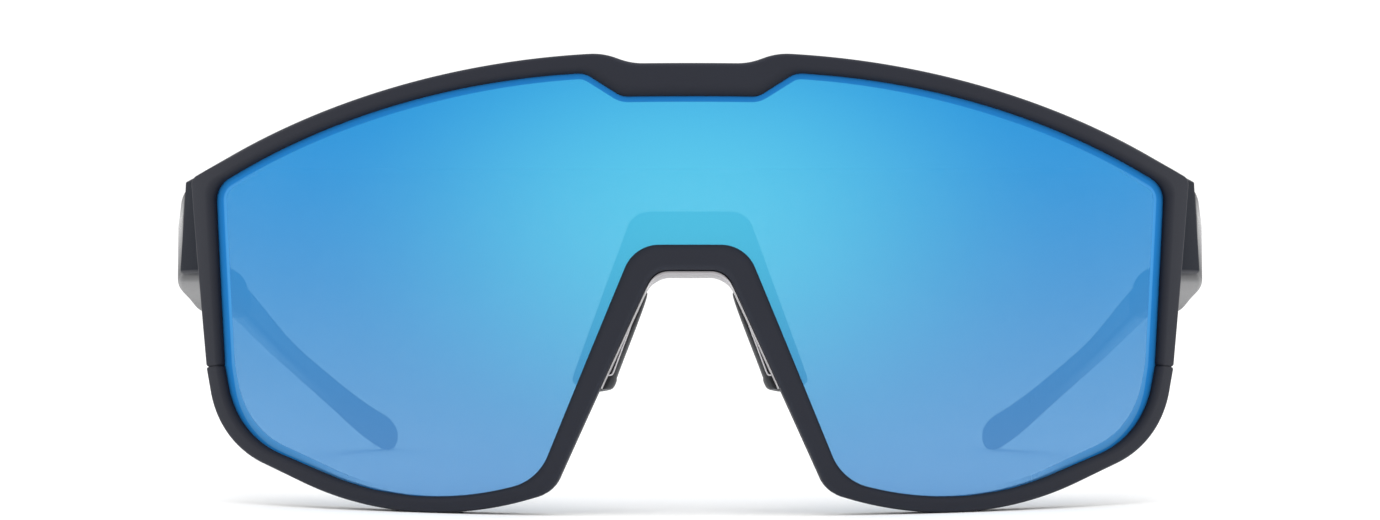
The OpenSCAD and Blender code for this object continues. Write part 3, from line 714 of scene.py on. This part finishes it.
def pad_rings():
    """Oval sections down the pad, thin at the top and fullest low down, above a rounded foot. The
    side that meets the nose is smoother, glossier and painted lighter as a highlight, and the
    other side rougher and painted darker as shade."""
    around, square, tail_from, tail_l = 40, 0.75, 0.8, 0.24
    top_t, swell_t, swell_rate, back_t = 0.2 * pad_t, 0.72 * pad_t, 0.6, 0.33 * pad_t
    top, low = fin_top + pad_over, fin_low - pad_under
    turn = np.linspace(0, 2 * pi, around, endpoint=False)
    u, v = (np.sign(wave) * np.abs(wave) ** square for wave in (np.cos(turn), np.sin(turn)))
    rings = []
    for f in np.linspace(0, 1, 41):
        z = top + (low - top) * ease(f)
        full = max(0.3, max(0, 1 - abs(2 * f - 1) ** 3) ** 0.5)
        tail = 1 if f < tail_from else (1.1 - ((f - tail_from) / tail_l) ** 2) ** 0.5
        half = pad_depth * (0.55 + 0.45 * full) / 2
        thick = (top_t + swell_t * f**swell_rate) * tail
        behind = back_t * (0.5 + 0.5 * full)
        middle = leg_place(z) + (0, pad_set) + along * half
        swell = np.where(v > 0, v * behind, v * thick)
        flat = middle + np.outer(u * half, along) + np.outer(swell, aside)
        rings.append(np.column_stack([flat, np.full(around, z)]))
    # Painted highlight on the nose side, painted shade on the other.
    return np.array(rings), np.clip(-2.2 * v - 0.6, -0.7, 0.25)


def soft_rubber(name, colour, dust_and_highlight):
    """Moulded rubber: a dull skin, fine pores, and a little dust that greys it. Where polish is
    above 0 it is smoother and glossier, and lighter as a painted highlight; where polish is
    below 0 it is rougher and painted darker as shade."""
    pore_mm, pore_depth, cloud_mm, painted_highlight = 0.12, 0.02, 4, srgb(84, 86, 90)
    finish = Finish(name)
    pore, cloud = finish.noise(pore_mm, 3), finish.noise(cloud_mm, 3)
    polish_and_light = finish.attribute("polish_and_light")
    # The grey is dust, and where polish rises, a painted highlight as well.
    skin = finish.blend(0.5 * cloud + 0.2 * pore + polish_and_light, colour, dust_and_highlight)
    return finish.surface({
        "Base Color": finish.blend(polish_and_light, skin, painted_highlight),
        "Roughness": 0.66 + 0.12 * cloud + 0.1 * (pore - 0.5) - 0.4 * polish_and_light,
        "Normal": finish.bump(pore, pore_depth),
        "Specular IOR Level": 0.35,
        "Sheen Weight": 0.05,
        "Coat Weight": finish.ramp(polish_and_light, 0, 1),
        "Coat Roughness": 0.08,
        "Coat IOR": 1.8,
    })


pad_rubber = soft_rubber("pad_rubber_dull", srgb(18, 18, 21), srgb(30, 31, 35))
for side, mirrored in sides:
    pad = solid("nose_pad_" + side + "_soft", *pad_rings(), mirrored)
    pad.data.materials.append(pad_rubber)
    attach(pad, "front")
    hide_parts("nose_pad_" + side)

# Hinges: three-barrel leaves of stainless steel, one moulded into the endpiece and one into the
# temple, on a screw put in from below. Turned and milled, with eased edges.
edge_ease, weld_reach = 0.00008, 1e-6
steel_dark, steel_pale = srgb(150, 152, 156), srgb(186, 188, 192)
steel = Finish("hinge_steel_brushed")
streak = steel.noise(0.09, 3, stretch=(1, 1, 0.06))
stain = steel.noise(1.4, 3)
steel_brushed = steel.surface({
    "Base Color": steel.blend(stain, steel_dark, steel_pale),
    "Metallic": 1.0,
    "Roughness": 0.26 + 0.16 * streak,
    "Normal": steel.bump(streak, 0.008),
})
for name in ("hinge_front", "hinge_temple", "hinge_screw"):
    for side, _ in sides:
        metal = frame["nodes"][name + "_" + side]
        metal.data.materials.clear()
        metal.data.materials.append(steel_brushed)
        metal.modifiers.new("closed skin", "WELD").merge_threshold = weld_reach
        eased = metal.modifiers.new("eased edges", "BEVEL")
        eased.width, eased.segments, eased.limit_method = edge_ease, 2, "ANGLE"

# Temple arms: nylon arms behind the hinges, deep and blocky at the front and narrowing to a blade
# that runs on inside the grip. The lower outer face is one plain facet.
temple_l, temple_h, temple_t, block_l = 116, 13.2, 4.7, 28
neck_l, neck_h, neck_dip, grip_dip = 30, 6.8, 2.2, 0.15
grip_h, waist_h, tip_h, grip_t = 5.3, 3.7, 5.45, 3.3
shoulder, shoulder_l, shoulder_rise = 1.4, 5, 1.3
tang_in, tang_l, slot_reach = 1.15, 50, 2
arm_y, tip_y = hinge_y + hinge_gap, hinge_y + temple_l
neck_y = arm_y + neck_l
grip_y, waist_y, swell_y, ear_y = (hinge_y + share * temple_l for share in (0.43, 0.7, 0.96, 0.48))
arm_set, arm_drop, hug_run, hug_r, flare = 0.45, 0.3, 11, 214, tan(radians(2.6))
arm_in, hug_y = hinge_x + arm_set, hinge_y + hug_run
temple_z = endpiece_top + endpiece_rise - arm_drop - temple_h / 2
fall_a, fall_b, ear_bend = tan(radians(5.6)), tan(radians(15.5)), 11
lift_y, lift_l, grip_lift = waist_y - 9, 38, 0.25
splay_y, tip_out, tip_sink = waist_y + 15, 0.3, 0.17
bow_out, bow_l, foot_in, foot_in_l, foot_up, foot_up_l = 0.4, 24, 0.9, 7, 0.75, 5
tip_fill, tip_blunt, edge_soft = 1.4, 0.03, 0.32

# Corners of the section at the hinge, in the grip and at the tip, as shares of its half width and
# height: from the top down the inner face, across below and up the outer face.
hinge_block = np.array([
    (-0.75, 1), (-1, 0.92), (-1, 0.45), (-1, 0), (-1, -0.45), (-1, -0.85),
    (-0.7, -1), (0.85, -1), (1, -0.9), (1, 0.32), (0.84, 0.86), (0.5, 1)])
keeled_blade = np.array([
    (-0.35, 1), (-1, 0.74), (-1, 0.4), (-1, 0), (-1, -0.4), (-1, -0.72),
    (-0.55, -1), (0.2, -1), (0.85, -0.2), (1, 0.32), (0.9, 0.74), (0.35, 1)])
tip_bud = np.array([
    (-0.5, 0.95), (-0.9, 0.58), (-0.97, 0.3), (-1, 0), (-0.97, -0.27), (-0.9, -0.5),
    (-0.5, -0.95), (0.2, -1), (0.8, -0.75), (1, -0.1), (0.9, 0.55), (0.4, 0.97)])


def taper(y, a, b, start, end):
    """A size that goes softly from a at depth start to b at depth end."""
    return a + (b - a) * ease((y - start) / (end - start))


def ramp(values, low, high):
    """A straight step from 0 at low to 1 at high."""
    return np.clip((values - low) / (high - low), 0, 1)


def temple_height(y):
    """Height of the section at depth y: less to the neck and the waist, more again to the tip."""
    if y < neck_y:
        return taper(y, temple_h, neck_h, arm_y, neck_y)
    if y < grip_y:
        return taper(y, neck_h, grip_h, neck_y, grip_y)
    if y < waist_y:
        return taper(y, grip_h, waist_h, grip_y, waist_y)
    swell = min(1, (y - waist_y) / (swell_y - waist_y))
    return (waist_h + (tip_h - waist_h) * swell**tip_fill) * tip_round(y)


def tip_round(y):
    """Share of the full section that is left at depth y, where the tip is rounded off."""
    return max(tip_blunt, 1 - (max(0, y - swell_y) / (tip_y - swell_y)) ** 3) ** 0.5


def temple_line(y):
    """Middle of the temple's inner face at depth y: it bends in along the head, dips to the neck,
    and falls more steeply behind the ear."""
    bend, late = max(0, y - hug_y), y - ear_y
    x = arm_in + flare * (y - arm_y) - hug_r + (hug_r**2 - bend**2) ** 0.5
    x += taper(y, 0, tip_out, splay_y, swell_y)
    z = temple_z - fall_a * (y - arm_y)
    z -= (fall_b - fall_a) * (late + (late**2 + ear_bend**2) ** 0.5) / 2
    if y < neck_y:
        z -= taper(y, 0, neck_dip, arm_y, neck_y)
    else:
        z -= taper(y, neck_dip, grip_dip, neck_y, grip_y)
    z += grip_lift * sin(pi * min(1, max(0, (y - lift_y) / lift_l))) ** 2
    z -= taper(y, 0, tip_sink, waist_y, swell_y)
    return x, z


def temple_ring(y, inset=0.0, top=0.0, rib=0.0):
    """Section of the temple at depth y, and each point's shares of its half width and height: a
    block at the hinge that turns into a keeled blade and then into the bud of the tip. It can be
    raised at the top and by a rib on its inner face. Its outer face bows out behind the hinge."""
    thick = taper(y, temple_t, grip_t, arm_y, waist_y)
    across = (thick / 2 - inset) * tip_round(y)
    high = (temple_height(y) + top) / 2 - inset
    keel = ease((y - arm_y - block_l) / (grip_y - arm_y - block_l))
    points = hinge_block + (keeled_blade - hinge_block) * keel
    points += (tip_bud - points) * ease((y - waist_y) / (swell_y - waist_y))
    soft = edge_soft * min(across, high)
    section, _ = rounded([(u, v, soft, 4) for u, v in points * (across, high)])
    share = section / (across, high)
    u, v = share.T
    back = y - arm_y
    bow = bow_out * sin(pi * min(1, back / bow_l)) ** 2
    bow -= foot_in * max(0, 1 - back / foot_in_l) ** 2
    lift = foot_up * max(0, 1 - back / foot_up_l) ** 2
    on_face = ramp(u, -0.86, -1) * ramp(v, -0.65, -0.4) * ramp(v, 0.6, 0.35)
    section[:, 0] += bow * np.clip(u, 0, 1) - rib * on_face
    section[:, 1] += lift * np.clip(-v, 0, 1)
    x, z = temple_line(y)
    middle = (x + thick / 2, z + top / 2)
    return np.insert(section + middle, 1, y, axis=1), share


def crest(y):
    """How far the arm stands above the line of the grip: it grows back to a rounded shoulder."""
    left = min(1, max(0, (grip_y - y) / shoulder_l))
    rise = ((y - arm_y) / (grip_y - arm_y)) ** shoulder_rise
    return shoulder * rise * (left * (2 - left)) ** 0.5


def arm_rings():
    """Sections of an arm: an eased hinge face, the arm up to its shoulder, the tang in the grip.
    The outer face is smoother, glossier and painted lighter as a highlight, and the face below it
    half as much."""
    arm_end, shoulder_y = grip_y - seat_gap, grip_y - shoulder_l
    depths = list(np.linspace(arm_y + 0.3, shoulder_y, 64)[:-1])
    depths += list(shoulder_y + (shoulder_l - 0.1) * np.sin(np.linspace(0, pi / 2, 13)))
    eased_face = ((0.001, 0.3), (0.1, 0.1))  # depth and inset of each ring
    rings = [temple_ring(arm_y + depth, inset) for depth, inset in eased_face]
    rings += [temple_ring(y, 0, crest(y)) for y in depths]
    rings += [temple_ring(arm_end, 0.15)]
    rings += [temple_ring(y, tang_in) for y in np.linspace(arm_end + 0.02, grip_y + tang_l, 24)]
    u, v = rings[0][1].T
    # Painted highlight on the outer face, and half of it on the face below.
    outer_face = ramp(u, 0.8, 0.95) * ramp(v, -0.8, -0.65)
    under_face = ramp(v, -0.8, -0.95) * ramp(u, -0.9, -0.7)
    return np.array([ring for ring, _ in rings]), np.maximum(outer_face, 0.45 * under_face)


# The lighter arm colour is only for the outer faces: a painted highlight.
arm_black, arm_painted_highlight = srgb(24, 25, 32), srgb(34, 36, 44)
arm_nylon = matt_nylon(
    "arm_nylon_satin", arm_black, arm_painted_highlight, roughness=0.6, gloss=0.3, smoothing=0.38, coat=0.8)
for side, mirrored in sides:
    arm = solid("temple_arm_" + side + "_moulding", *arm_rings(), mirrored)
    shape(arm, "DIFFERENCE", *hinge_room("arm_" + side, arm_y - slot_reach, mirrored))
    arm.data.materials.append(arm_nylon)
    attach(arm, side + "_temple")
    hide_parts("temple_arm_" + side)

# Temple grips: rubber sleeves moulded over the back of each arm, with fine ribs on the inner face
# where they hold behind the ear, and a plain rounded tip.
rib_count, rib_d, rib_steps, rib_fade = 33, 0.24, 8, 0.6
rib_y, rib_end = grip_y + 1.5, waist_y + 23
# Length and fade of the painted highlight on the facet under the ribs.
gleam_l, gleam_fade = 12, 45


def grip_rings():
    """Sections of a grip: an eased front lip, the ribbed stretch, then the swell to the tip. The
    crests of the ribs are glossier and painted lighter as a highlight, and the gaps between them
    rougher and painted darker as shade. The facet under the ribs carries a painted highlight too,
    less and less towards the tip."""
    eased_lip = ((0, 1.1), (0, 0.25), (0.1, 0.07))  # depth and inset of each ring
    rings = [temple_ring(grip_y + depth, inset) for depth, inset in eased_lip]
    rings += [temple_ring(y) for y in np.linspace(grip_y + 0.3, rib_y, 6)[:-1]]
    share = np.linspace(0, 1, rib_count * rib_steps + 1)
    waves = (0.5 - 0.5 * np.cos(2 * pi * rib_count * share)) * (1 - rib_fade * share)
    ribbed = slice(len(rings), len(rings) + len(waves))
    for y, wave in zip(rib_y + (rib_end - rib_y) * share, waves):
        rings.append(temple_ring(y, rib=rib_d * wave**0.5))
    rings += [temple_ring(y) for y in np.linspace(rib_end, swell_y, 9)[1:]]
    tip_turns = np.linspace(0, pi / 2, 15)[1:]
    rings += [temple_ring(swell_y + (tip_y - swell_y) * sin(turn)) for turn in tip_turns]
    u, v = rings[0][1].T
    facet = ramp(v, -0.8, -0.95) * ramp(u, 0.35, 0.05)
    face = ramp(u, -0.4, -0.6) * ramp(v, -0.75, -0.55) * ramp(v, 0.65, 0.45)
    depths = np.array([ring[0, 1] for ring, _ in rings])
    # gleam: the painted highlight on the facet, fading towards the tip.
    gleam = 1 - ease((depths - grip_y - gleam_l) / gleam_fade)
    # crests: painted highlight on the rib crests, painted shade in the gaps.
    crests = np.zeros(len(rings))
    crests[ribbed] = np.clip(2.4 * waves - 0.9, -0.9, 1)
    polish_and_light = np.outer(gleam, facet) + np.outer(crests, face)
    return np.array([ring for ring, _ in rings]), polish_and_light.ravel()


grip_rubber = soft_rubber("grip_rubber_dull", srgb(30, 31, 35), srgb(44, 45, 50))
for side, mirrored in sides:
    grip = solid("temple_grip_" + side + "_soft", *grip_rings(), mirrored)
    grip.data.materials.append(grip_rubber)
    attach(grip, side + "_temple")
    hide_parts("temple_grip_" + side)

# Studio: a pale matt floor that runs out of sight, an even white surround, one broad soft lamp
# overhead, and the camera straight in front, a little above the middle of the lens. In metres.
floor_size, floor_drop, surround = 30, 0.00005, 1.1
lamp_at, lamp_tilt, lamp_size, lamp_watts = (0, -0.1, 1.2), atan2(0.08, 1.17), 0.9, 4.5
camera_at, camera_dip, camera_lens = (0, -0.782, 0.0495), 1.198, 134.73

bpy.ops.mesh.primitive_plane_add(size=floor_size, location=(0, 0, -floor_drop))
floor = bpy.context.object
floor.name = "studio_floor"
paper = Finish("floor_paper")
fibre = paper.noise(3, 2)
floor.data.materials.append(paper.surface({
    "Base Color": paper.blend(fibre, srgb(251, 251, 251), srgb(253, 253, 253)),
    "Roughness": 0.9,
    "Specular IOR Level": 0.1,
}))

scene = bpy.context.scene
scene.view_settings.view_transform = "Standard"
scene.world = bpy.data.worlds.new("white_surround")
scene.world.use_nodes = True
background = scene.world.node_tree.nodes["Background"]
background.inputs["Color"].default_value = (1, 1, 1, 1)
background.inputs["Strength"].default_value = surround

lamp = bpy.data.objects.new("lamp_top", bpy.data.lights.new("lamp_top", "AREA"))
lamp.data.shape, lamp.data.size, lamp.data.energy = "DISK", lamp_size, lamp_watts
lamp.location, lamp.rotation_euler = lamp_at, (lamp_tilt, 0, 0)
lamp.visible_glossy = False
scene.collection.objects.link(lamp)

camera = bpy.data.objects.new("camera", bpy.data.cameras.new("camera"))
camera.data.sensor_width, camera.data.lens = 36, camera_lens
camera.location, camera.rotation_euler = camera_at, (radians(90 - camera_dip), 0, 0)
scene.collection.objects.link(camera)
scene.camera = camera
